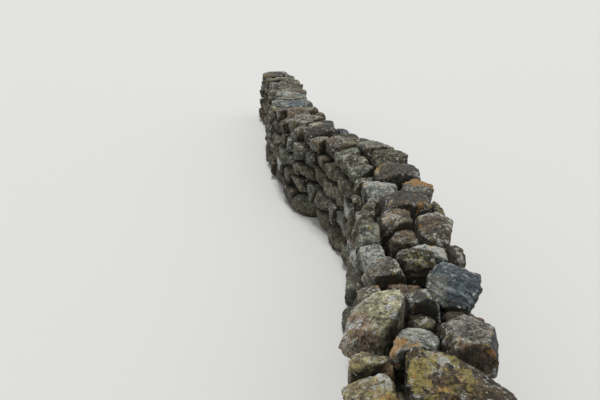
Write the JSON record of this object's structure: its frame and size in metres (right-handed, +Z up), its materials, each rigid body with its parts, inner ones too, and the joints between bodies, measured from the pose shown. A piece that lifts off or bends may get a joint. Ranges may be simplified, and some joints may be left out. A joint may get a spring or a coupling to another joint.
{
  "type": "dry stone wall",
  "caption": "Free-standing dry stone wall of rough field stones, two battered faces with hearting, through stones and a loose boulder cope, wandering over six bays.",
  "frame": {"origin": "on the ground under the middle of the near foundation stone, on its flat underside", "axes": "+Y along the wall away from the near head, +X to the right-hand side, +Z up"},
  "size_m": [2.4785, 14.4846, 1.2254],
  "materials": {
    "footing_stone": "rough, earth-stained",
    "face_stone": "rough, weathered",
    "heart_stone": "rough, iron-stained",
    "through_stone": "rough, weathered",
    "cope_stone": "rough, weathered, with lichen crusts",
    "head_stone": "rough, weathered"
  },
  "bodies": {
    "root": {"near_foundation": "footing_stone", "near_head": "head_stone", "far_head": "head_stone", "bay_1_footings": "footing_stone", "bay_1_left_face": "face_stone", "bay_1_right_face": "face_stone", "bay_1_hearting": "heart_stone", "bay_1_throughs": "through_stone", "bay_1_cope": "cope_stone", "bay_2_footings": "footing_stone", "bay_2_left_face": "face_stone", "bay_2_right_face": "face_stone", "bay_2_hearting": "heart_stone", "bay_2_throughs": "through_stone", "bay_2_cope": "cope_stone", "bay_3_footings": "footing_stone", "bay_3_left_face": "face_stone", "bay_3_right_face": "face_stone", "bay_3_hearting": "heart_stone", "bay_3_throughs": "through_stone", "bay_3_cope": "cope_stone", "bay_4_footings": "footing_stone", "bay_4_left_face": "face_stone", "bay_4_right_face": "face_stone", "bay_4_hearting": "heart_stone", "bay_4_throughs": "through_stone", "bay_4_cope": "cope_stone", "bay_5_footings": "footing_stone", "bay_5_left_face": "face_stone", "bay_5_right_face": "face_stone", "bay_5_hearting": "heart_stone", "bay_5_throughs": "through_stone", "bay_5_cope": "cope_stone", "bay_6_footings": "footing_stone", "bay_6_left_face": "face_stone", "bay_6_right_face": "face_stone", "bay_6_hearting": "heart_stone", "bay_6_throughs": "through_stone", "bay_6_cope": "cope_stone"}
  },
  "joints": []
}
